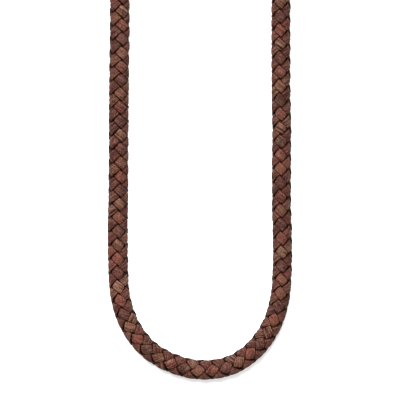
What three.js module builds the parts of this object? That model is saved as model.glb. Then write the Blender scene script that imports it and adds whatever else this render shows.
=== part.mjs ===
// Necklace of round braided leather cord, closed by a plain metal barrel clasp.
// It lies flat. +Z is up, the bend that hangs at the front of the neck is at -Y, and the clasp is at +Y.
// Units are millimetres. The origin is at the middle of the necklace, on the surface that it lies on.

import * as THREE from 'three';

// Driving dimensions

const CORD_DIAMETER = 6; // across two opposite flats
const CORD_SIDES = 12;
const CORD_STEPS = 80;

const CLASP_LENGTH = 18;
const CLASP_DIAMETER = 8.4;
const CLASP_SIDES = 32;
const SOCKET_DIAMETER = 6.9;
const SOCKET_DEPTH = 6;
const EDGE_CHAMFER = 0.5;
const GROOVE_WIDTH = 0.8;
const GROOVE_DEPTH = 0.25;
const END_GAP = 0.3; // between the cord's end and the floor of its socket

const BEND_TO_CLASP = 216; // along Y, from the middle of the bend to the clasp's axis

// Heights above the surface: the cord and the clasp each rest on one of their flats.

const CORD_HEIGHT = CORD_DIAMETER / 2;
const CLASP_RISE = (CLASP_DIAMETER / 2) * Math.cos(Math.PI / CLASP_SIDES);
const CORD_END = CLASP_LENGTH / 2 - SOCKET_DEPTH + END_GAP;

// The cord's centreline, out of one socket, down one leg, round the bend and back up to the other socket.
// Each row is [across, along from the middle of the bend, height].

const TOP = BEND_TO_CLASP;
const ROUTE = [
  [CORD_END, TOP, CLASP_RISE],
  [7.0, TOP, CLASP_RISE],
  [10.5, TOP, CLASP_RISE],
  [15.0, TOP - 0.8, CLASP_RISE - 0.15],
  [20.0, TOP - 3.5, CORD_HEIGHT + 0.6],
  [24.0, TOP - 7.8, CORD_HEIGHT + 0.2],
  [26.5, TOP - 13.0, CORD_HEIGHT + 0.04],
  [27.6, TOP - 19.0, CORD_HEIGHT],
  [27.5, TOP - 30.0, CORD_HEIGHT],
  [26.6, TOP - 46.0, CORD_HEIGHT],
  [25.8, TOP - 66.0, CORD_HEIGHT],
  [25.4, 120.0, CORD_HEIGHT],
  [25.4, 97.5, CORD_HEIGHT],
  [25.6, 59.7, CORD_HEIGHT],
  [25.9, 34.5, CORD_HEIGHT],
  [24.9, 21.9, CORD_HEIGHT],
  [22.2, 13.5, CORD_HEIGHT],
  [16.8, 6.2, CORD_HEIGHT],
  [9.1, 1.3, CORD_HEIGHT],
  [0.0, 0.0, CORD_HEIGHT],
  [-8.8, 2.0, CORD_HEIGHT],
  [-16.5, 6.6, CORD_HEIGHT],
  [-21.9, 13.6, CORD_HEIGHT],
  [-24.9, 21.9, CORD_HEIGHT],
  [-26.0, 34.5, CORD_HEIGHT],
  [-25.8, 59.7, CORD_HEIGHT],
  [-25.5, 97.5, CORD_HEIGHT],
  [-25.4, 120.0, CORD_HEIGHT],
  [-25.8, TOP - 66.0, CORD_HEIGHT],
  [-26.6, TOP - 46.0, CORD_HEIGHT],
  [-27.5, TOP - 30.0, CORD_HEIGHT],
  [-27.6, TOP - 19.0, CORD_HEIGHT],
  [-26.5, TOP - 13.0, CORD_HEIGHT + 0.04],
  [-24.0, TOP - 7.8, CORD_HEIGHT + 0.2],
  [-20.0, TOP - 3.5, CORD_HEIGHT + 0.6],
  [-15.0, TOP - 0.8, CLASP_RISE - 0.15],
  [-10.5, TOP, CLASP_RISE],
  [-7.0, TOP, CLASP_RISE],
  [-CORD_END, TOP, CLASP_RISE],
];

// The middle of the necklace along Y, between the outside of the bend and the outside of the clasp.
const MIDDLE = (TOP + CLASP_RISE - CORD_DIAMETER / 2) / 2;

// Materials

const leather = new THREE.MeshStandardMaterial({ name: 'leather', color: 0x734b41, roughness: 0.55 });
const steel = new THREE.MeshStandardMaterial({
  name: 'steel',
  color: 0xb9bbbd,
  roughness: 0.3,
  metalness: 1,
});

// A smooth curve through the route, whose section never rolls: one flat faces the surface all the way round.
class LevelCurve extends THREE.CatmullRomCurve3 {
  computeFrenetFrames(segments) {
    const up = new THREE.Vector3(0, 0, 1);
    const frames = { tangents: [], normals: [], binormals: [] };
    for (let i = 0; i <= segments; i += 1) {
      const tangent = this.getTangentAt(i / segments);
      const across = new THREE.Vector3().crossVectors(tangent, up).normalize();
      frames.tangents.push(tangent);
      frames.normals.push(across);
      frames.binormals.push(new THREE.Vector3().crossVectors(tangent, across));
    }
    return frames;
  }
}

// A regular polygon with a flat, not a corner, across each axis.
function cordSection() {
  const cornerRadius = CORD_DIAMETER / 2 / Math.cos(Math.PI / CORD_SIDES);
  const corners = [];
  for (let i = 0; i < CORD_SIDES; i += 1) {
    const angle = ((i + 0.5) / CORD_SIDES) * 2 * Math.PI;
    corners.push(new THREE.Vector2(cornerRadius * Math.cos(angle), cornerRadius * Math.sin(angle)));
  }
  return new THREE.Shape(corners);
}

function makeCord() {
  const centreline = new LevelCurve(ROUTE.map((row) => new THREE.Vector3(...row)));
  const tube = new THREE.ExtrudeGeometry(cordSection(), {
    steps: CORD_STEPS,
    extrudePath: centreline,
  });
  const cord = new THREE.Mesh(tube, leather);
  cord.name = 'braided_cord';
  return cord;
}

// A turned barrel: chamfered ends, a blind socket in each end and a shallow groove round the middle.
// The profile is [radius, along the axis] for the upper half, from the socket's floor to the groove.
function makeClasp() {
  const radius = CLASP_DIAMETER / 2;
  const half = CLASP_LENGTH / 2;
  const upper = [
    [0, half - SOCKET_DEPTH],
    [SOCKET_DIAMETER / 2, half - SOCKET_DEPTH],
    [SOCKET_DIAMETER / 2, half],
    [radius - EDGE_CHAMFER, half],
    [radius, half - EDGE_CHAMFER],
    [radius, GROOVE_WIDTH / 2],
    [radius - GROOVE_DEPTH, GROOVE_WIDTH / 4],
  ];
  const lower = upper.map(([across, along]) => [across, -along]);
  const profile = [...lower, ...upper.reverse()].map((point) => new THREE.Vector2(...point));
  const barrel = new THREE.LatheGeometry(profile, CLASP_SIDES);
  barrel.rotateY(Math.PI / CLASP_SIDES);
  const clasp = new THREE.Mesh(barrel, steel);
  clasp.name = 'clasp';
  clasp.rotation.z = Math.PI / 2;
  clasp.position.set(0, TOP, CLASP_RISE);
  return clasp;
}

const necklace = new THREE.Group();
necklace.name = 'necklace';
necklace.add(makeCord(), makeClasp());
necklace.position.y = -MIDDLE;

export default necklace;
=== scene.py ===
import math

import bpy
import numpy as np
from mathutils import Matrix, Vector


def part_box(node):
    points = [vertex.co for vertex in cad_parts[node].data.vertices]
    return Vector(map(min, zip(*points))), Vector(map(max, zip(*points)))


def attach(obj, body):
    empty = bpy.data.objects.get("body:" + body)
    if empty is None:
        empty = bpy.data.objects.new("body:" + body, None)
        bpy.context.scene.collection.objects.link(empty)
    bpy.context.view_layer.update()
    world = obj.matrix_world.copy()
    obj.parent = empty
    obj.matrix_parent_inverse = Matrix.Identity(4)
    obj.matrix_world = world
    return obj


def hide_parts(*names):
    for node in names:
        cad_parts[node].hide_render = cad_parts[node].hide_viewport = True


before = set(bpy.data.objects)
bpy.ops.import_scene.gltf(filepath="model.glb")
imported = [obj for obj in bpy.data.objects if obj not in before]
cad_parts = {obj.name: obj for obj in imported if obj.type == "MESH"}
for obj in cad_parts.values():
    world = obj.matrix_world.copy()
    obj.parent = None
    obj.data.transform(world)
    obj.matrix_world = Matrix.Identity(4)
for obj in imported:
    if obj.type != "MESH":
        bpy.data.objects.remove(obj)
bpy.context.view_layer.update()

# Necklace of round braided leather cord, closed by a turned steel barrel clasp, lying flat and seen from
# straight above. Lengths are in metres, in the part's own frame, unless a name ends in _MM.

MM = 0.001
FULL_TURN = 2 * math.pi
WHITE = (1, 1, 1, 1)

# Sizes as in the part's source, whose 32-sided clasp rests on one of its flats.
CORD_DIAMETER = 0.006
CORD_HEIGHT = CORD_DIAMETER / 2
CLASP_LENGTH = 0.018
CLASP_RADIUS = 0.0042
CLASP_RISE = CLASP_RADIUS * math.cos(math.pi / 32)
CORD_END = 0.0033
TOP = 0.216
MIDDLE = (TOP + CLASP_RISE - CORD_HEIGHT) / 2

# The cord's route, as in the part's source: [across, along from the middle of the bend, height].
LEG = [
    [0.0276, TOP - 0.0190, CORD_HEIGHT],
    [0.0275, TOP - 0.0300, CORD_HEIGHT],
    [0.0266, TOP - 0.0460, CORD_HEIGHT],
    [0.0258, TOP - 0.0660, CORD_HEIGHT],
    [0.0254, 0.1200, CORD_HEIGHT],
]
TURN_TO_CLASP = [
    [CORD_END, TOP, CLASP_RISE],
    [0.0070, TOP, CLASP_RISE],
    [0.0105, TOP, CLASP_RISE],
    [0.0150, TOP - 0.0008, CLASP_RISE - 0.00015],
    [0.0200, TOP - 0.0035, CORD_HEIGHT + 0.0006],
    [0.0240, TOP - 0.0078, CORD_HEIGHT + 0.0002],
    [0.0265, TOP - 0.0130, CORD_HEIGHT + 0.00004],
]
BEND = [
    [0.0254, 0.0975, CORD_HEIGHT],
    [0.0256, 0.0597, CORD_HEIGHT],
    [0.0259, 0.0345, CORD_HEIGHT],
    [0.0249, 0.0219, CORD_HEIGHT],
    [0.0222, 0.0135, CORD_HEIGHT],
    [0.0168, 0.0062, CORD_HEIGHT],
    [0.0091, 0.0013, CORD_HEIGHT],
    [0.0, 0.0, CORD_HEIGHT],
    [-0.0088, 0.0020, CORD_HEIGHT],
    [-0.0165, 0.0066, CORD_HEIGHT],
    [-0.0219, 0.0136, CORD_HEIGHT],
    [-0.0249, 0.0219, CORD_HEIGHT],
    [-0.0260, 0.0345, CORD_HEIGHT],
    [-0.0258, 0.0597, CORD_HEIGHT],
    [-0.0255, 0.0975, CORD_HEIGHT],
]

# The route is drawn with so many samples from row to row, then cut into even steps.
SPLINE_SAMPLES = 200
ROUTE_STEP_MM = 0.1

# The view: straight down on the bend, with the legs running out of the top of the picture.
VIEW_CENTRE = (-0.0001, -0.05508)
VIEW_WIDTH = 0.126
VIEW_DISTANCE = 1.0
SENSOR_WIDTH = 36.0
CLIP_NEAR = 0.01
CLIP_FAR = 20

# One large soft lamp, high up and beyond the clasp, a white sky and a wide white surface.
KEY_PLACE = (-0.15, 0.5, 1.0)
KEY_TARGET = (0, -0.05, 0)
KEY_SIZE = 0.7
KEY_WATTS = 36
SKY_STRENGTH = 0.5
FLOOR_HALF = 4.0

# The tables below hold rows of a place and the value there. The place is the length along the cord in mm,
# which grows from the clasp down the right leg, round the bend and up the left leg. Where a name says
# ROUND, it is the degrees round the cord from its top, which are above zero at the loop's outer side. A
# pair of tables has one for the loop's inner side and one for its outer side.

# The braid: three strips wind to the right and three to the left, each over one and under one. PITCH_MM is
# the length that a strip takes for one turn round the cord, STEP_MM is the way from one strip to the next,
# PHASE_MM is where the first strip of each way crosses the top, and LAY is a strip's angle with the cord,
# at LAY_RADIUS_MM from its middle. Each strip is a tube of RINGS rings, with SIDES points in each.
RIGHT = 1
LEFT = -1
STRIPS = 3
SEEDS = {RIGHT: 11, LEFT: 12}
PITCH_MM = 13.1
STEP_MM = PITCH_MM / STRIPS
PHASE_MM = 125.2
WINDING = FULL_TURN / PITCH_MM
LAY_RADIUS_MM = 2.6
LAY = math.atan(WINDING * LAY_RADIUS_MM)
RINGS = 1360

# The section of a strip. The two numbers of its shape are the powers in (1 - across^4.0)^0.5, its height.
STRIP_WIDTH_MM = {RIGHT: 3.18, LEFT: 3.2}
STRIP_THICKNESS_MM = 0.75
STRIP_SHAPE = (4.0, 0.5)
SECTION_TOP = [-0.99, -0.93, -0.84, -0.7, -0.5, -0.26, 0.0, 0.26, 0.5, 0.7, 0.84, 0.93, 0.99]
SECTION_UNDER = [0.94, 0.7, 0.35, 0.0, -0.35, -0.7, -0.94]
SIDES = len(SECTION_TOP) + len(SECTION_UNDER)

# How far out the strips lie: the radius of their middles, then for each way the level about which they go
# over and under, and how far. COLUMN_MM lifts one way's strips where it lowers the other's, three
# times round the cord. They also rise and tilt at the sides, within a window in degrees from the top.
MID_RADIUS_MM = 2.39
LIFT_MM = {RIGHT: (-0.08, 0.36), LEFT: (0.04, 0.26)}
WAVE_SHARPNESS = 1.8
COLUMN_MM = 0.19
RISE_WINDOW = (52, 68, 98, 116)
RISE_MM = {
    RIGHT: (
        [(0, 0.1), (206, 0.1), (220, -0.04), (288, -0.04), (306, 0.36), (494, 0.36)],
        [(0, -0.04), (220, -0.04), (238, 0.1), (288, 0.1), (306, 0.04), (494, 0.04)],
    ),
    LEFT: (
        [(0, -0.03), (206, -0.03), (220, 0.1), (288, 0.1), (306, -0.05), (494, -0.05)],
        [(0, 0.09), (220, 0.09), (238, 0), (288, 0), (306, 0.2), (494, 0.2)],
    ),
}
RIGHT_TILT_MM = (
    [(0, 0), (206, 0), (220, 0.3), (288, 0.3), (306, 0), (494, 0)],
    [(0, 0.25), (220, 0.25), (238, 0), (494, 0)],
)

# How much further along the cord the strips lie than in an even braid. For those wound right that holds at
# the sides only, within a window in degrees from the top.
LEFT_SHIFT_MM = [(0, 0.15), (205, 0.15), (225, 0.25), (285, 0.25), (310, 0), (494, 0)]
SHIFT_WINDOW = (22, 68, 105, 150)
RIGHT_SHIFT_MM = (
    [(0, 0), (206, 0), (220, -0.75), (288, -0.75), (306, 0.5), (494, 0.5)],
    [(0, 0.78), (222, 0.78), (240, 0), (494, 0)],
)

# The braid's turn about the cord in degrees, how much further along the whole braid lies, the cord's sway
# towards the loop's outer side, what its radius gains, and the least height above the surface.
TWIST_DEGREES = [
    (0, -8), (190, -9), (205, -3), (226, -2), (240, 2), (265, 5), (288, 0), (303, -7),
    (311, -9), (319, -19), (330, -22), (340, -11), (350, -13), (358, -21), (494, -21),
]
DRIFT_MM = [
    (0, 0.1), (135, 0.2), (153, 0.4), (170, 0.1), (195, 0.15), (215, -0.15), (230, -0.15),
    (245, 0.1), (285, 0.3), (303, 0.4), (322, -0.1), (345, 0), (358, -0.45), (494, -0.45),
]
SWAY_MM = [
    (0, 0), (110, 0), (130, -0.05), (144, -0.05), (156, 0.14), (169, -0.04), (182, -0.2),
    (195, -0.08), (209, 0), (221, -0.09), (234, 0), (248, -0.05), (260, -0.14), (273, 0),
    (286, 0.07), (300, -0.07), (326, 0), (351, 0.08), (364, -0.05), (380, 0), (494, 0),
]
SWELL_MM = [
    (0, -0.02), (122, -0.06), (196, -0.04), (210, 0), (262, 0.01), (274, 0.05), (312, 0.04),
    (326, 0), (494, 0),
]
REST_MM = 0.01

# A patch is the part of a strip that lies over. The random spread from one patch to the next is a share of
# the strip's width, mm across it, mm up at one edge and down at the other, and mm up. EASED says where on
# the way from one to the next it changes.
WIDTH_SPREAD = 0.015
ACROSS_SPREAD_MM = 0.05
LEAN_SPREAD_MM = 0.03
HEIGHT_SPREAD_MM = 0.025
EASED = (0.35, 0.65)
SPARE_VALUES = 6

# A patch reaches PATCH_REACH_MM from its middle to the middle of the dark lines at its ends and edges. Its
# ends reach up to CORNER_MM further and its edges up to CORNER_MM less, by their place round the cord. The
# patches wound right are narrower by NARROWER_MM on either side, and the others are longer by it at either
# end. One over and one under take OVER_AND_UNDER_MM, measured square to the strips that are crossed.
# FIRST_PATCH keeps the count of patches above zero.
PATCH_REACH_MM = 1.74
CORNER_MM = 0.42
NARROWER_MM = 0.12
OVER_AND_UNDER_MM = 6.97
FIRST_PATCH = 200

# The half-widths of the dark lines between strips, which are painted shade in the crevices together with
# the strips' dark edges, for the steep ones and the shallow ones. INNER_STEEP_SEAM multiplies the steep
# ones at the inner side. The shallow ones gain HOOK_SEAM_MM at the hooks, which are painted shade in the
# dark notches of the outline, from HOOK_STARTS in degrees from the top and as strong as HOOKS says.
# HOOK_CORNERS_ROUND, which is the same at both sides, says where that painted shade darkens the corners of
# patches too.
# From HOOK_CORNER_EDGE of the way to a strip's edge that is full. A line fades out between two shares of
# its half-width, and a patch's rim between two distances from the middle of the line.
STEEP_SEAM_ROUND_MM = [(-180, 0.22), (-75, 0.22), (-50, 0.28), (180, 0.29)]
INNER_STEEP_SEAM = [(0, 1), (206, 1), (222, 0.4), (288, 0.4), (306, 0.6), (494, 0.6)]
SHALLOW_SEAM_MM = [(0, 0.17), (300, 0.17), (314, 0.27), (494, 0.27)]
HOOK_SEAM_MM = 0.58
HOOK_STARTS = (36, 52)
HOOKS = (
    [(0, 0.1), (206, 0.1), (220, 1), (288, 1), (306, 0.2), (494, 0.2)],
    [(0, 1), (222, 1), (240, 0.6), (288, 0.6), (306, 0.7), (494, 0.7)],
)
HOOK_CORNERS_ROUND = [(0, 0), (48, 0), (56, 1), (95, 1), (110, 0), (180, 0)]
HOOK_CORNER_EDGE = 0.5
SEAM_FADES = (0.62, 1.12)
PATCH_MIDDLE_MM = (0.35, 1.35)

# The strips' colours, whose order slips by one at the splice, and what makes them lighter: TONE
# everywhere, which is painted light where it rises round the bend, SIDE_LIGHT at the sides, which is
# painted light, and SIDE_SHEEN, a painted sheen that makes the sides paler and less red, both from
# PALE_FROM_MM round the cord, and LIGHT_SPREAD at random from patch to patch. WARM_SPREAD makes a patch
# redder or less red. Each strip's streaks have a strength of their own, which varies too, within limits.
# CREVICE_SHADE_AND_EDGE_DYE is the dark between strips, painted shade in the crevices together with the
# strips' dark edges, and UNDERSIDE_AND_HOOK_SHADE is painted shade at the strips' undersides and at the
# hooks.
STRIP_TINTS = {
    RIGHT: [(0.0770, 0.0256, 0.0178), (0.0800, 0.0322, 0.0202), (0.0500, 0.0192, 0.0149)],
    LEFT: [(0.0518, 0.0178, 0.0133), (0.0606, 0.0231, 0.0152), (0.0443, 0.0153, 0.0113)],
}
SPLICE_MM = 332.0
CORD_RADIUS_MM = CORD_DIAMETER / 2 / MM
TONE = [(0, 1.04), (190, 1.04), (225, 1.26), (290, 1.26), (310, 1.075), (494, 1.07)]
SIDE_LIGHT = [(0, 0.06), (206, 0.06), (222, 0.18), (288, 0.18), (306, 0.04), (494, 0.04)]
SIDE_SHEEN = np.array([-0.01, 0.07, 0.11])
PALE_FROM_MM = (1.3, 3.4)
LIGHT_SPREAD = 0.05
WARM_SPREAD = np.array([0.015, -0.01, -0.005])
STREAK_STRENGTH = {RIGHT: [0.5, 0.72, 0.52], LEFT: [0.45, 0.65, 0.5]}
STREAK_SPREAD = 0.35
STREAK_LIMITS = (0.1, 1.0)
CREVICE_SHADE_AND_EDGE_DYE = (0.015, 0.0035, 0.0012, 1)
UNDERSIDE_AND_HOOK_SHADE = (0.009, 0.0035, 0.001, 1)

# Noises on the leather: scale per mm along a strip, across it and through it, then detail and roughness.
# The place through it sets a strip's underside apart from its top, and each strip apart from the next.
STREAKS = ((0.18, 2.7, 2.7), 3.0, 0.6)
MOTTLE = ((0.55, 0.8, 0.8), 2.0, 0.5)
FLUSH = ((0.45, 0.9, 0.93), 2.0, 0.5)
GRAIN = ((2.2, 3.2, 3.2), 4.0, 0.7)
NOISE_DEPTH = 0.5
NOISE_APART = 7.0
NOISE_START = 50

# What those noises do between two of their values. The colours multiply the strip's own, except for the
# tan, which the mottle mixes in. PATCH_COLOURS are for the rim and the middle of a patch.
STREAK_SPAN = (0.38, 0.62)
STREAK_COLOURS = ((0.22, 0.15, 0.14, 1), (1.47, 2.01, 2.22, 1))
MOTTLE_SPAN = (0.45, 0.7)
TAN = (0.098, 0.050, 0.0335, 1)
TAN_STRENGTH = 0.32
FLUSH_SPAN = (0.47, 0.64)
FLUSH_COLOURS = ((0.99, 1.01, 1.0, 1), (1.02, 0.9, 0.96, 1))
GRAIN_SPAN = (0.34, 0.66)
GRAIN_COLOURS = ((0.41, 0.35, 0.34, 1), (1.49, 1.53, 1.54, 1))
PATCH_COLOURS = ((1.02, 1.01, 1.0, 1), (1.01, 0.98, 0.97, 1))

# The stains: length along the cord and place across its top, half-length, half-width, all in mm, and the
# colour.
STAINS = [
    (158.1, -0.55, 0.55, 0.6, (0.010, 0.006, 0.002, 1)),
    (160.2, -0.35, 1.3, 0.45, (0.030, 0.0185, 0.0105, 1)),
    (176.0, -2.6, 1.0, 0.8, (0.022, 0.017, 0.012, 1)),
    (332.6, -0.8, 0.28, 1.0, (0.012, 0.004, 0.002, 1)),
]
STAIN_FADES = (0.6, 1.2)
STAIN_STRENGTH = 0.9

# The finish: roughness between two values of a noise, and bumps of a strength and a depth in metres. The
# leather's bumps are made of its streaks and its grain. The noises on the core and the clasp have their
# scale per metre along X, Y and Z.
ROUGHNESS_SPAN = (0.3, 0.7)
LEATHER_ROUGHNESS = (0.62, 0.5)
STREAK_SHARE = 0.7
GRAIN_SHARE = 0.3
LEATHER_BUMP = (0.6, 0.00008)
CORE_FIBRES = (900.0, 900.0, 900.0)
CORE_COLOURS = ((0.008, 0.004, 0.003, 1), (0.016, 0.007, 0.005, 1))
TURNING_MARKS = (9000.0, 60.0, 60.0)
STEEL_COLOURS = ((0.29, 0.29, 0.30, 1), (0.35, 0.35, 0.36, 1))
STEEL_ROUGHNESS = (0.24, 0.36)
STEEL_BUMP = (0.25, 0.00002)

# The core is wide enough that no light comes through between the strips.
CORE_RADIUS_MM = 1.75
CORE_RINGS = 700
CORE_SIDES = 10

# The clasp's turned profile: the groove round its middle, the rounded edges, and the sockets. Lengths
# along the axis go from the middle of the clasp, except for SOCKET_RING_MM, which goes from the mouth of
# the socket.
CLASP_SIDES = 96
GROOVE_DEPTH_MM = 0.25
GROOVE_HALF_MM = 0.14
GROOVE_EDGE_AT_MM = 0.55
GROOVE_EDGE_MM = 0.15
BARREL_RINGS_MM = (2.5, 5.0, 7.4)
BARREL_EDGE_MM = 0.55
SOCKET_RADIUS_MM = 3.18
SOCKET_EDGE_MM = 0.16
SOCKET_RING_MM = 1.5
SOCKET_FLOOR_MM = 3.0
SOCKET_CORNER_MM = 0.2
SOCKET_FLOOR_SHARE = 0.9

# The map for baking: the rows that the strips are cut into, the margins beside a row and at its ends, the
# shape and thickness of the section that is unrolled, and the small circle that all end faces share.
BAKE_ROWS = 19
ROW_MARGIN = 0.04
END_MARGIN = 0.002
BAKE_SHAPE = (2, 1)
BAKE_THICKNESS = 0.25
CAP_CENTRE = (0.99, 0.996)
CAP_RADIUS = (0.004, 0.002)


def table(rows, place):
    at, values = zip(*rows)
    return np.interp(place, at, values)


def by_side(pair, u, degrees):
    """The pair's first table at the loop's inner side, and its second at the outer side."""
    inner, outer = pair
    return np.where(degrees < 0, table(inner, u), table(outer, u))


def smoothstep(low, high, x):
    t = np.clip((x - low) / (high - low), 0, 1)
    return t * t * (3 - 2 * t)


def window(limits, x):
    """Eased from 0 to 1 between the first two limits, and back to 0 between the last two."""
    first, second, third, fourth = limits
    return smoothstep(first, second, x) * smoothstep(fourth, third, x)


def catmull_rom(rows, samples):
    """The centripetal spline that the part's source draws through its route."""
    p = np.asarray(rows, float)
    q = np.vstack([2 * p[0] - p[1], p, 2 * p[-1] - p[-2]])
    t = np.linspace(0, 1, samples, endpoint=False)[:, None]
    out = []
    for a, b, c, d in zip(q[:-3], q[1:-2], q[2:-1], q[3:]):
        ab, bc, cd = (np.sum((y - x) ** 2) ** 0.25 for x, y in ((a, b), (b, c), (c, d)))
        start = ((b - a) / ab - (c - a) / (ab + bc) + (c - b) / bc) * bc
        end = ((c - b) / bc - (d - b) / (bc + cd) + (d - c) / cd) * bc
        out.append(
            b * (2 * t**3 - 3 * t**2 + 1)
            + c * (3 * t**2 - 2 * t**3)
            + start * (t**3 - 2 * t**2 + t)
            + end * (t**3 - t**2)
        )
    return np.vstack(out + [p[-1:]])


def make_route():
    """Points at even steps along the cord, in mm, with the length up to each and the way it goes there."""
    mirrored = [[-x, y, z] for x, y, z in reversed(TURN_TO_CLASP + LEG)]
    rows = np.array(TURN_TO_CLASP + LEG + BEND + mirrored)
    rows[:, 1] -= MIDDLE
    fine = catmull_rom(rows / MM, SPLINE_SAMPLES)
    run = np.r_[0, np.cumsum(np.linalg.norm(np.diff(fine, axis=0), axis=1))]
    along = np.arange(0, run[-1], ROUTE_STEP_MM)
    points = np.stack([np.interp(along, run, fine[:, k]) for k in range(3)], 1)
    ahead = np.gradient(points, axis=0)
    ahead /= np.linalg.norm(ahead, axis=1)[:, None]
    return along, points, ahead


ALONG, POINTS, AHEAD = make_route()
ROUTE_MM = ALONG[-1]


def on_cord(u, angle, radius):
    """Points at that length along the cord, angle round it from the top and distance from its middle."""
    centre = np.stack([np.interp(u, ALONG, POINTS[:, k]) for k in range(3)], -1)
    ahead = np.stack([np.interp(u, ALONG, AHEAD[:, k]) for k in range(3)], -1)
    across = np.cross([0.0, 0.0, 1.0], ahead)
    across /= np.linalg.norm(across, axis=-1, keepdims=True)
    up = np.cross(ahead, across)
    centre = centre + table(SWAY_MM, u)[..., None] * across
    radius = radius + table(SWELL_MM, u)
    outwards = np.cos(angle)[..., None] * up + np.sin(angle)[..., None] * across
    points = centre + radius[..., None] * outwards
    points[..., 2] = np.maximum(points[..., 2], REST_MM)
    return points


def twist(u):
    return np.radians(table(TWIST_DEGREES, u))


def lattice_mm(u):
    """The length along the lattice of crossings, which stretches a little from place to place."""
    return u - PHASE_MM - table(DRIFT_MM, u)


def degrees_round(angle):
    """Degrees from the cord's top, from -180 to 180."""
    return np.degrees(angle - FULL_TURN * np.round(angle / FULL_TURN))


def make_camera():
    data = bpy.data.cameras.new("camera")
    data.sensor_width = SENSOR_WIDTH
    data.lens = SENSOR_WIDTH * VIEW_DISTANCE / VIEW_WIDTH
    data.clip_start = CLIP_NEAR
    data.clip_end = CLIP_FAR
    camera = bpy.data.objects.new("camera", data)
    camera.location = (*VIEW_CENTRE, CORD_HEIGHT + VIEW_DISTANCE)
    bpy.context.scene.collection.objects.link(camera)
    bpy.context.scene.camera = camera


def new_object(name, vertices, faces, material):
    mesh = bpy.data.meshes.new(name)
    mesh.from_pydata(np.asarray(vertices).tolist(), [], faces)
    mesh.materials.append(material)
    mesh.shade_smooth()
    piece = bpy.data.objects.new(name, mesh)
    bpy.context.scene.collection.objects.link(piece)
    return piece


def tube_faces(rings, sides, first=0):
    """Quads round a closed tube, with one face on each end."""
    i, j = np.meshgrid(np.arange(rings - 1), np.arange(sides), indexing="ij")
    a, b = first + i * sides + j, first + i * sides + (j + 1) % sides
    quads = np.stack([a, b, b + sides, a + sides], -1).reshape(-1, 4).tolist()
    last = first + (rings - 1) * sides
    return quads + [list(range(first + sides - 1, first - 1, -1)), list(range(last, last + sides))]


def strip_section(power, root):
    """Places across and heights, from -1 to 1, round a flat strip with rounded edges."""
    across = np.r_[SECTION_TOP, SECTION_UNDER]
    height = (1 - np.abs(across) ** power) ** root
    top = len(SECTION_TOP)
    return across, np.r_[height[:top], -height[top:]]


def per_patch(rng, count, spread):
    """One random value for each whole count, eased halfway from one to the next."""
    values = rng.normal(0, spread, int(count.max() - count.min()) + SPARE_VALUES)
    x = count - math.floor(count.min()) + 1
    low = np.floor(x).astype(int)
    mix = smoothstep(*EASED, x - low)
    return values[low] * (1 - mix) + values[low + 1] * mix


def strip_shift(way, u, degrees):
    """How far the strips wound that way lie past their even places, in mm along the cord."""
    if way == LEFT:
        return table(LEFT_SHIFT_MM, u)
    return window(SHIFT_WINDOW, np.abs(degrees)) * by_side(RIGHT_SHIFT_MM, u, degrees)


def seam_widths(u, degrees):
    """Half-widths in mm of the dark lines between strips, painted shade with the strips' dark edges, where
    they lie steep and where shallow.
    """
    hook = HOOK_SEAM_MM * by_side(HOOKS, u, degrees) * smoothstep(*HOOK_STARTS, np.abs(degrees))
    steep = table(STEEP_SEAM_ROUND_MM, degrees) * np.where(degrees < 0, table(INNER_STEEP_SEAM, u), 1)
    return steep, table(SHALLOW_SEAM_MM, u) + hook


def rows_of(*columns):
    """The columns side by side, with one row for each point."""
    return np.stack(np.broadcast_arrays(*columns), -1).reshape(-1, len(columns))


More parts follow.
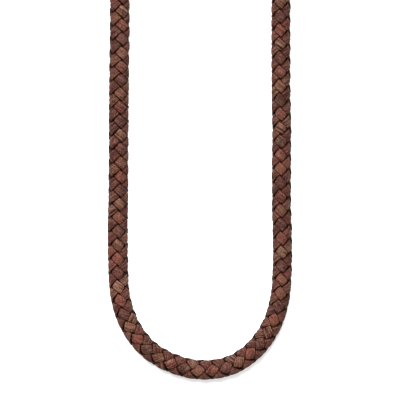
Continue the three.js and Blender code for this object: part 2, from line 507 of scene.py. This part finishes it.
class Strip:
    """One strip of the braid. Its arrays have a row for each ring of points and a column for each side."""

    def __init__(self, way, index, rng):
        self.way = way
        self.index = index
        self.across, self.height = strip_section(*STRIP_SHAPE)
        self.middle = np.linspace(0, ROUTE_MM, RINGS)[:, None]
        self.lattice = lattice_mm(self.middle) - index * STEP_MM
        self.aside = self.places_across(rng)
        self.angle = self.angles()
        self.degrees = degrees_round(self.angle)
        self.at = self.lengths_along()
        self.turned = self.angle - twist(self.at)
        self.patch = self.patches()
        self.radius = self.radii(rng)
        self.shade = np.stack([per_patch(rng, self.patch, 1.0) for _ in range(3)], -1)

    def places_across(self, rng):
        """mm from the middle of the strip."""
        count = self.lattice / STEP_MM
        width = STRIP_WIDTH_MM[self.way] * (1 + per_patch(rng, count, WIDTH_SPREAD))
        return self.across * width / 2 + per_patch(rng, count, ACROSS_SPREAD_MM)

    def angles(self):
        """Radians round the cord from its top, which grow with each turn."""
        wound = twist(self.middle) + self.way * WINDING * self.lattice
        return wound + self.aside * math.cos(LAY) / LAY_RADIUS_MM

    def lengths_along(self):
        """mm along the cord."""
        at = np.clip(self.middle - self.way * self.aside * math.sin(LAY), 0, ROUTE_MM)
        return np.clip(at + strip_shift(self.way, at, self.degrees), 0, ROUTE_MM)

    def patches(self):
        """The count of patches, which is whole in the middle of each."""
        crossed = lattice_mm(self.at) + self.way * self.turned / WINDING
        crossed = crossed - strip_shift(-self.way, self.at, self.degrees)
        return (crossed / STEP_MM - self.index - (self.way == LEFT)) / 2

    def radii(self, rng):
        """mm from the middle of the cord."""
        level, swing = LIFT_MM[self.way]
        wave = np.tanh(WAVE_SHARPNESS * np.cos(FULL_TURN * self.patch))
        lift = level + swing * wave / math.tanh(WAVE_SHARPNESS)
        lift = lift + self.way * COLUMN_MM * np.cos(STRIPS * self.turned)
        side = window(RISE_WINDOW, np.abs(self.degrees))
        lift = lift + side * by_side(RISE_MM[self.way], self.at, self.degrees)
        tilt = by_side(RIGHT_TILT_MM, self.at, self.degrees)
        tilt = -(self.way == RIGHT) * side * np.sign(self.degrees) * tilt
        lean = per_patch(rng, self.patch, LEAN_SPREAD_MM)
        radius = MID_RADIUS_MM + lift + self.height * STRIP_THICKNESS_MM / 2
        return radius + per_patch(rng, self.patch, HEIGHT_SPREAD_MM) + (lean + tilt) * self.across

    def reach(self):
        """How far the patch reaches from its middle to the dark lines at its ends and at its edges."""
        column = self.way * (1 - 2 * np.arccos(np.cos(STRIPS * self.turned)) / math.pi)
        to_end = PATCH_REACH_MM + CORNER_MM * (1 + column) / 2 + (self.way == LEFT) * NARROWER_MM
        to_edge = PATCH_REACH_MM - CORNER_MM * (1 - column) / 2 - (self.way == RIGHT) * NARROWER_MM
        return to_end, to_edge

    def seams(self):
        """Half-widths of the dark lines at the patch's ends and at its edges."""
        steep, shallow = seam_widths(self.at, self.degrees)
        return (steep, shallow) if self.way == RIGHT else (shallow, steep)

    def dark(self):
        """Painted shade: 1 at the underside, and up to 1 at the hooks, on the upper half of the strips
        wound right.
        """
        near_top = smoothstep(0.0, HOOK_CORNER_EDGE, -np.sign(self.degrees) * self.across)
        corner = (self.way == RIGHT) * by_side(HOOKS, self.at, self.degrees)
        corner = corner * table(HOOK_CORNERS_ROUND, np.abs(self.degrees)) * near_top
        return np.where(self.height < 0, 1.0, corner)

    def tint(self):
        """The colour at each point, and how strong its streaks are."""
        at = self.at[..., None]
        light, warm, bold = np.split(self.shade, 3, -1)
        colours = np.array(STRIP_TINTS[self.way])
        colour = np.where(at > SPLICE_MM, colours[(self.index + 1) % STRIPS], colours[self.index])
        # Painted light round the bend from TONE, and painted light and a painted sheen at the sides.
        pale = smoothstep(*PALE_FROM_MM, np.abs(self.round_mm())[..., None])
        tone = (1 + LIGHT_SPREAD * light) * table(TONE, at)
        tone = tone * (1 + (table(SIDE_LIGHT, at) + SIDE_SHEEN) * pale)
        streaks = STREAK_STRENGTH[self.way][self.index] * (1 + STREAK_SPREAD * bold)
        parts = [colour * tone * (1 + WARM_SPREAD * warm), np.clip(streaks, *STREAK_LIMITS)]
        return np.clip(np.concatenate(parts, -1), 0, 1).reshape(-1, 4)

    def round_mm(self):
        """mm round the cord from its top."""
        return self.degrees * math.pi / 180 * CORD_RADIUS_MM

    def points(self):
        return on_cord(self.at, self.angle, self.radius).reshape(-1, 3)

    def values(self):
        """What the leather's material reads at each point."""
        through = self.height * NOISE_DEPTH + NOISE_APART * self.index + NOISE_START
        return {
            "tint": self.tint(),
            "strand": rows_of(self.middle / math.cos(LAY), self.aside, through),
            "patch": rows_of(self.patch + FIRST_PATCH, *self.seams()),
            "place": rows_of(self.at, self.round_mm(), 0),
            "reach": rows_of(*self.reach(), 0),
            # under: painted shade at the strips' undersides and at the hooks.
            "under": rows_of(self.dark()),
        }


def paint(mesh, strips):
    """Puts the strips' values on the mesh."""
    kinds = {"tint": ("FLOAT_COLOR", "color"), "under": ("FLOAT", "value")}
    painted = [strip.values() for strip in strips]
    for name in painted[0]:
        kind, field = kinds.get(name, ("FLOAT_VECTOR", "vector"))
        values = np.vstack([each[name] for each in painted])
        mesh.attributes.new(name, kind, "POINT").data.foreach_set(field, values.ravel())


def lay_out_bake(mesh):
    """A UV map for baking the strips, unrolled and cut into rows that fill the square."""
    across, height = strip_section(*BAKE_SHAPE)
    wide = np.diff(np.r_[across, across[0]])
    high = np.diff(np.r_[height, height[0]]) * BAKE_THICKNESS
    around = np.r_[0, np.cumsum(np.hypot(wide, high))]
    around /= around[-1]
    steps = STRIPS * (RINGS - 1)
    in_row = math.ceil(steps / BAKE_ROWS)
    step, side = np.meshgrid(np.arange(steps), np.arange(SIDES), indexing="ij")
    corners = [(0, 0), (0, 1), (1, 1), (1, 0)]
    x = np.stack([(step % in_row + on) / in_row for on, _ in corners], -1)
    in_height = np.stack([around[side + turn] for _, turn in corners], -1)
    y = ((step // in_row)[..., None] + ROW_MARGIN + (1 - 2 * ROW_MARGIN) * in_height) / BAKE_ROWS
    quads = np.stack([END_MARGIN + (1 - 2 * END_MARGIN) * x, y], -1).reshape(STRIPS, -1)
    turn = np.linspace(0, FULL_TURN, SIDES, endpoint=False)
    circle = np.stack([np.cos(turn), np.sin(turn)], -1)
    cap = (CAP_CENTRE + CAP_RADIUS * circle).ravel()
    places = np.c_[quads, np.tile(cap, (STRIPS, 2))]
    mesh.uv_layers.new(name="OFBake").data.foreach_set("uv", places.ravel())


def make_strips(name, way, material):
    """The three strips that wind one way, as one piece."""
    rng = np.random.default_rng(SEEDS[way])
    strips = [Strip(way, index, rng) for index in range(STRIPS)]
    each = RINGS * SIDES
    faces = [face for index in range(STRIPS) for face in tube_faces(RINGS, SIDES, index * each)]
    piece = new_object(name, np.vstack([strip.points() for strip in strips]) * MM, faces, material)
    paint(piece.data, strips)
    lay_out_bake(piece.data)
    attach(piece, "root")
    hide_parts("braided_cord")
    return piece


def make_core(material):
    """The dark core that the strips are plaited round, which shows only in the crevices."""
    u = np.linspace(0, ROUTE_MM, CORE_RINGS)[:, None] * np.ones((1, CORE_SIDES))
    angle = np.linspace(0, FULL_TURN, CORE_SIDES, endpoint=False)[None, :] + 0 * u
    points = on_cord(u, angle, np.full_like(u, CORE_RADIUS_MM)).reshape(-1, 3)
    piece = new_object("cord_core", points * MM, tube_faces(CORE_RINGS, CORE_SIDES), material)
    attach(piece, "root")
    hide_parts("braided_cord")
    return piece


def arc(x, r, size, start, stop, count):
    """Points round an edge of that radius, about [x, r], between two angles in degrees."""
    turn = np.radians(np.linspace(start, stop, count))
    return [[x + size * math.cos(a), r + size * math.sin(a)] for a in turn]


def clasp_profile():
    """[along the axis, radius] in mm, from the groove round the middle to the floor of one socket."""
    half = CLASP_LENGTH / 2 / MM
    radius = CLASP_RADIUS / MM
    socket = SOCKET_RADIUS_MM
    groove = [[x, radius - GROOVE_DEPTH_MM] for x in (0.0, GROOVE_HALF_MM)]
    groove += arc(GROOVE_EDGE_AT_MM, radius - GROOVE_EDGE_MM, GROOVE_EDGE_MM, 140, 90, 5)
    barrel = [[x, radius] for x in BARREL_RINGS_MM]
    barrel += arc(half - BARREL_EDGE_MM, radius - BARREL_EDGE_MM, BARREL_EDGE_MM, 90, 0, 9)
    mouth = arc(half - SOCKET_EDGE_MM, socket + SOCKET_EDGE_MM, SOCKET_EDGE_MM, 0, -90, 6)
    wall = [[half - SOCKET_RING_MM, socket], [SOCKET_FLOOR_MM + SOCKET_CORNER_MM, socket]]
    floor = [[SOCKET_FLOOR_MM, SOCKET_FLOOR_SHARE * socket], [SOCKET_FLOOR_MM, 0.0]]
    return groove + barrel + mouth + wall + floor


def turned_solid(profile, sides, centre):
    """Vertices and faces of a profile turned about a line along X, closed where its radius is 0."""
    turn = np.linspace(0, FULL_TURN, sides, endpoint=False)
    vertices, faces, rings = [], [], []
    for x, r in profile:
        if r == 0:
            rings.append([len(vertices)] * sides)
            vertices.append(centre + [x, 0, 0])
            continue
        rings.append(list(range(len(vertices), len(vertices) + sides)))
        vertices += [centre + [x, r * math.cos(a), r * math.sin(a)] for a in turn]
    for one, two in zip(rings[:-1], rings[1:]):
        for i in range(sides):
            corners = [one[i], two[i], two[(i + 1) % sides], one[(i + 1) % sides]]
            faces.append(list(dict.fromkeys(corners)))
    return np.array(vertices), faces


def make_clasp(material):
    """The barrel behind the neck: turned, with a groove round the middle and a socket for each cord end."""
    half = clasp_profile()
    profile = [[-x, r] for x, r in reversed(half[1:])] + half
    low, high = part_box("clasp")
    centre = np.array((low + high) / 2) / MM
    centre[2] = CLASP_RISE / MM
    vertices, faces = turned_solid(profile, CLASP_SIDES, centre)
    piece = new_object("barrel_clasp", vertices * MM, faces, material)
    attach(piece, "root")
    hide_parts("clasp")
    return piece


class Nodes:
    """Short calls for building a material's nodes."""

    def __init__(self, name):
        self.material = bpy.data.materials.new(name)
        self.material.use_nodes = True
        self.tree = self.material.node_tree
        self.shader = self.tree.nodes["Principled BSDF"]

    def add(self, kind, inputs, **settings):
        node = self.tree.nodes.new(kind)
        for key, value in settings.items():
            setattr(node, key, value)
        self.put(node, inputs)
        return node

    def put(self, node, inputs):
        """Sets each input, or links it where the value comes out of another node."""
        for key, value in inputs.items():
            if isinstance(value, bpy.types.NodeSocket):
                self.tree.links.new(value, node.inputs[key])
            else:
                node.inputs[key].default_value = value

    def attribute(self, name, out="Fac"):
        return self.add("ShaderNodeAttribute", {}, attribute_name=name).outputs[out]

    def object_place(self):
        return self.add("ShaderNodeTexCoord", {}).outputs["Object"]

    def noise(self, vector, scale, detail=3.0, roughness=0.5):
        inputs = {"Vector": self.vector("MULTIPLY", vector, scale), "Scale": 1.0}
        inputs.update({"Detail": detail, "Roughness": roughness})
        return self.add("ShaderNodeTexNoise", inputs).outputs["Fac"]

    def map(self, value, span, low, high):
        """Eased from low to high between the two ends of the span."""
        inputs = {0: value, 1: span[0], 2: span[1], 3: low, 4: high}
        return self.add("ShaderNodeMapRange", inputs, interpolation_type="SMOOTHSTEP").outputs[0]

    def mix(self, factor, a, b, blend="MIX"):
        inputs = {0: factor, 6: a, 7: b}
        return self.add("ShaderNodeMix", inputs, data_type="RGBA", blend_type=blend).outputs[2]

    def times(self, a, b):
        return self.mix(1.0, a, b, "MULTIPLY")

    def math(self, operation, a, b=0.0):
        return self.add("ShaderNodeMath", {0: a, 1: b}, operation=operation).outputs[0]

    def vector(self, operation, a, b):
        return self.add("ShaderNodeVectorMath", {0: a, 1: b}, operation=operation).outputs[0]

    def length(self, a):
        return self.add("ShaderNodeVectorMath", {0: a}, operation="LENGTH").outputs["Value"]

    def split(self, vector):
        return self.add("ShaderNodeSeparateXYZ", {0: vector}).outputs

    def bump(self, strength, distance, height):
        inputs = {"Strength": strength, "Distance": distance, "Height": height}
        return self.add("ShaderNodeBump", inputs).outputs[0]


def seam_shade(n, strand):
    """Two values: 1 in the dark lines, painted shade with the strips' dark edges, and 0 elsewhere, and 1 in
    the middle of a patch and 0 at its rim.
    """
    aside = n.split(strand)[1]
    patch, ends, edges = n.split(n.attribute("patch", "Vector"))
    end_reach, edge_reach = n.split(n.attribute("reach", "Vector"))[:2]
    from_middle = n.math("MULTIPLY", n.math("PINGPONG", patch, 0.5), OVER_AND_UNDER_MM)
    to_end = n.math("SUBTRACT", end_reach, from_middle)
    to_edge = n.math("SUBTRACT", edge_reach, n.math("ABSOLUTE", aside))
    end_line = n.map(n.math("DIVIDE", to_end, ends), SEAM_FADES, 1.0, 0.0)
    edge_line = n.map(n.math("DIVIDE", to_edge, edges), SEAM_FADES, 1.0, 0.0)
    middle = n.map(n.math("MINIMUM", to_end, to_edge), PATCH_MIDDLE_MM, 0.0, 1.0)
    return n.math("MAXIMUM", n.math("MAXIMUM", end_line, edge_line), n.attribute("under")), middle


def leather_colour(n, strand, streak, grain, middle):
    """The strips' tints with their streaks, mottle, flush and grain."""
    lines = n.mix(n.map(streak, STREAK_SPAN, 0.0, 1.0), *STREAK_COLOURS)
    lines = n.mix(n.attribute("tint", "Alpha"), WHITE, lines)
    streaked = n.times(n.attribute("tint", "Color"), lines)
    mottle = n.map(n.noise(strand, *MOTTLE), MOTTLE_SPAN, 0.0, TAN_STRENGTH)
    flush = n.map(n.noise(strand, *FLUSH), FLUSH_SPAN, 0.0, 1.0)
    colour = n.times(n.mix(mottle, streaked, TAN), n.mix(middle, *PATCH_COLOURS))
    colour = n.times(colour, n.mix(flush, *FLUSH_COLOURS))
    return n.times(colour, n.mix(n.map(grain, GRAIN_SPAN, 0.0, 1.0), *GRAIN_COLOURS))


def stained(n, colour):
    for along, across, length, width, stain in STAINS:
        away = n.vector("SUBTRACT", n.attribute("place", "Vector"), (along, across, 0))
        away = n.length(n.vector("DIVIDE", away, (length, width, 1)))
        colour = n.mix(n.map(away, STAIN_FADES, STAIN_STRENGTH, 0.0), colour, stain)
    return colour


def leather_material():
    n = Nodes("braided leather")
    strand = n.attribute("strand", "Vector")
    dark, middle = seam_shade(n, strand)
    streak = n.noise(strand, *STREAKS)
    grain = n.noise(strand, *GRAIN)
    colour = stained(n, leather_colour(n, strand, streak, grain, middle))
    # The dark lines take painted crevice shade with the strips' dark edges; the undersides and hooks take
    # painted shade.
    shade_and_dye = n.mix(n.attribute("under"), CREVICE_SHADE_AND_EDGE_DYE, UNDERSIDE_AND_HOOK_SHADE)
    height = n.math("ADD", n.math("MULTIPLY", streak, STREAK_SHARE), n.math("MULTIPLY", grain, GRAIN_SHARE))
    n.put(n.shader, {
        "Base Color": n.mix(dark, colour, shade_and_dye),
        "Roughness": n.map(streak, ROUGHNESS_SPAN, *LEATHER_ROUGHNESS),
        "Specular IOR Level": 0.02,
        "Normal": n.bump(*LEATHER_BUMP, height),
    })
    return n.material


def core_material():
    n = Nodes("dark core")
    fibre = n.noise(n.object_place(), CORE_FIBRES)
    n.put(n.shader, {
        "Base Color": n.mix(fibre, *CORE_COLOURS),
        "Roughness": 0.9,
        "Specular IOR Level": 0.05,
    })
    return n.material


def steel_material():
    n = Nodes("turned steel")
    marks = n.noise(n.object_place(), TURNING_MARKS)
    n.put(n.shader, {
        "Metallic": 1.0,
        "Base Color": n.mix(marks, *STEEL_COLOURS),
        "Roughness": n.map(marks, ROUGHNESS_SPAN, *STEEL_ROUGHNESS),
        "Normal": n.bump(*STEEL_BUMP, marks),
    })
    return n.material


def floor_material():
    n = Nodes("white surface")
    n.put(n.shader, {
        "Base Color": (0.9, 0.9, 0.9, 1),
        "Roughness": 0.9,
        "Specular IOR Level": 0.0,
        "Emission Color": WHITE,
        "Emission Strength": 0.45,
    })
    return n.material


def make_floor():
    corners = [(x * FLOOR_HALF, y * FLOOR_HALF, 0) for x, y in ((-1, -1), (1, -1), (1, 1), (-1, 1))]
    new_object("floor", corners, [(0, 1, 2, 3)], floor_material())


def make_key_light():
    data = bpy.data.lights.new("key", "AREA")
    data.shape = "DISK"
    data.size = KEY_SIZE
    data.energy = KEY_WATTS
    light = bpy.data.objects.new("key", data)
    light.location = KEY_PLACE
    light.rotation_mode = "QUATERNION"
    light.rotation_quaternion = (Vector(KEY_TARGET) - Vector(KEY_PLACE)).to_track_quat("-Z", "Y")
    bpy.context.scene.collection.objects.link(light)


def make_sky():
    world = bpy.data.worlds.new("studio")
    world.use_nodes = True
    background = world.node_tree.nodes["Background"]
    background.inputs["Color"].default_value = WHITE
    background.inputs["Strength"].default_value = SKY_STRENGTH
    bpy.context.scene.world = world
    bpy.context.scene.view_settings.view_transform = "Standard"


def make_cord(leather):
    right = make_strips("strips_wound_right", RIGHT, leather)
    left = make_strips("strips_wound_left", LEFT, leather)
    core = make_core(core_material())


def main():
    make_camera()
    make_cord(leather_material())
    make_clasp(steel_material())
    make_floor()
    make_key_light()
    make_sky()


main()
